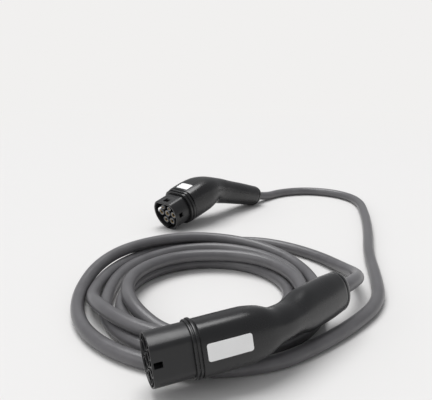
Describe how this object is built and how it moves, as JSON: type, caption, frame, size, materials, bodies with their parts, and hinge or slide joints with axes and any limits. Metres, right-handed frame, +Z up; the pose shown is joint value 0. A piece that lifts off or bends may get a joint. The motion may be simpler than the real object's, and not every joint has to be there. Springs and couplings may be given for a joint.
{
  "type": "electric vehicle charging cable",
  "caption": "Three-phase electric vehicle charging cable lying in a loose flat coil, with a socket-type vehicle connector and a pin-type station plug on its ends.",
  "frame": {"origin": "on the floor, at the centre of the rectangle that the two connectors cover, seen from above", "axes": "+Z up, -Y towards the viewer of the coil side, +X to the viewer's right"},
  "size_m": [0.5136, 0.8204, 0.0862],
  "materials": {
    "cable_jacket": "satin dark grey jacket",
    "black_insulation": "matte black",
    "black_grip_plastic": "fine matte texture",
    "grey_guard_plastic": "matte grey",
    "contact_metal": "plated, dull",
    "seal_rubber": "black",
    "label_film": "white, blank",
    "conductor_cover": "insulated wire",
    "resistor_body": "small resistor",
    "screw_steel": "zinc plated"
  },
  "bodies": {
    "root": {"cable_coil": "cable_jacket", "cable_exit_run": "cable_jacket", "cable_floor_run": "cable_jacket", "clamp_screws": "screw_steel", "plug_cable_end": "cable_jacket", "plug_cable_seal": "seal_rubber", "plug_clamp_lower": "black_insulation", "plug_clamp_upper": "black_insulation", "plug_coding_resistor": "resistor_body", "plug_collar": "black_grip_plastic", "plug_collar_seal": "seal_rubber", "plug_conductor_cp": "conductor_cover", "plug_conductor_l1": "conductor_cover", "plug_conductor_l2": "conductor_cover", "plug_conductor_l3": "conductor_cover", "plug_conductor_n": "conductor_cover", "plug_conductor_pe": "conductor_cover", "plug_contact_carrier": "black_insulation", "plug_contact_retainer": "black_insulation", "plug_contact_wells": "black_insulation", "plug_gland_cap": "black_grip_plastic", "plug_grip_housing": "black_grip_plastic", "plug_label": "label_film", "plug_nose_shell": "black_insulation", "plug_pin_cp": "contact_metal", "plug_pin_l1": "contact_metal", "plug_pin_l2": "contact_metal", "plug_pin_l3": "contact_metal", "plug_pin_n": "contact_metal", "plug_pin_pe": "contact_metal", "plug_pin_pp": "contact_metal", "retainer_screws": "screw_steel", "vehicle_cable_end": "cable_jacket", "vehicle_cable_seal": "seal_rubber", "vehicle_clamp_lower": "black_insulation", "vehicle_clamp_upper": "black_insulation", "vehicle_coding_resistor": "resistor_body", "vehicle_collar": "black_grip_plastic", "vehicle_collar_seal": "seal_rubber", "vehicle_conductor_cp": "conductor_cover", "vehicle_conductor_l1": "conductor_cover", "vehicle_conductor_l2": "conductor_cover", "vehicle_conductor_l3": "conductor_cover", "vehicle_conductor_n": "conductor_cover", "vehicle_conductor_pe": "conductor_cover", "vehicle_contact_carrier": "black_insulation", "vehicle_contact_retainer": "black_insulation", "vehicle_gland_cap": "black_grip_plastic", "vehicle_grip_housing": "black_grip_plastic", "vehicle_label": "label_film", "vehicle_nose_shell": "black_insulation", "vehicle_pilot_guards": "grey_guard_plastic", "vehicle_power_guards": "grey_guard_plastic", "vehicle_socket_cp": "contact_metal", "vehicle_socket_l1": "contact_metal", "vehicle_socket_l2": "contact_metal", "vehicle_socket_l3": "contact_metal", "vehicle_socket_n": "contact_metal", "vehicle_socket_pe": "contact_metal", "vehicle_socket_pp": "contact_metal"}
  },
  "joints": []
}
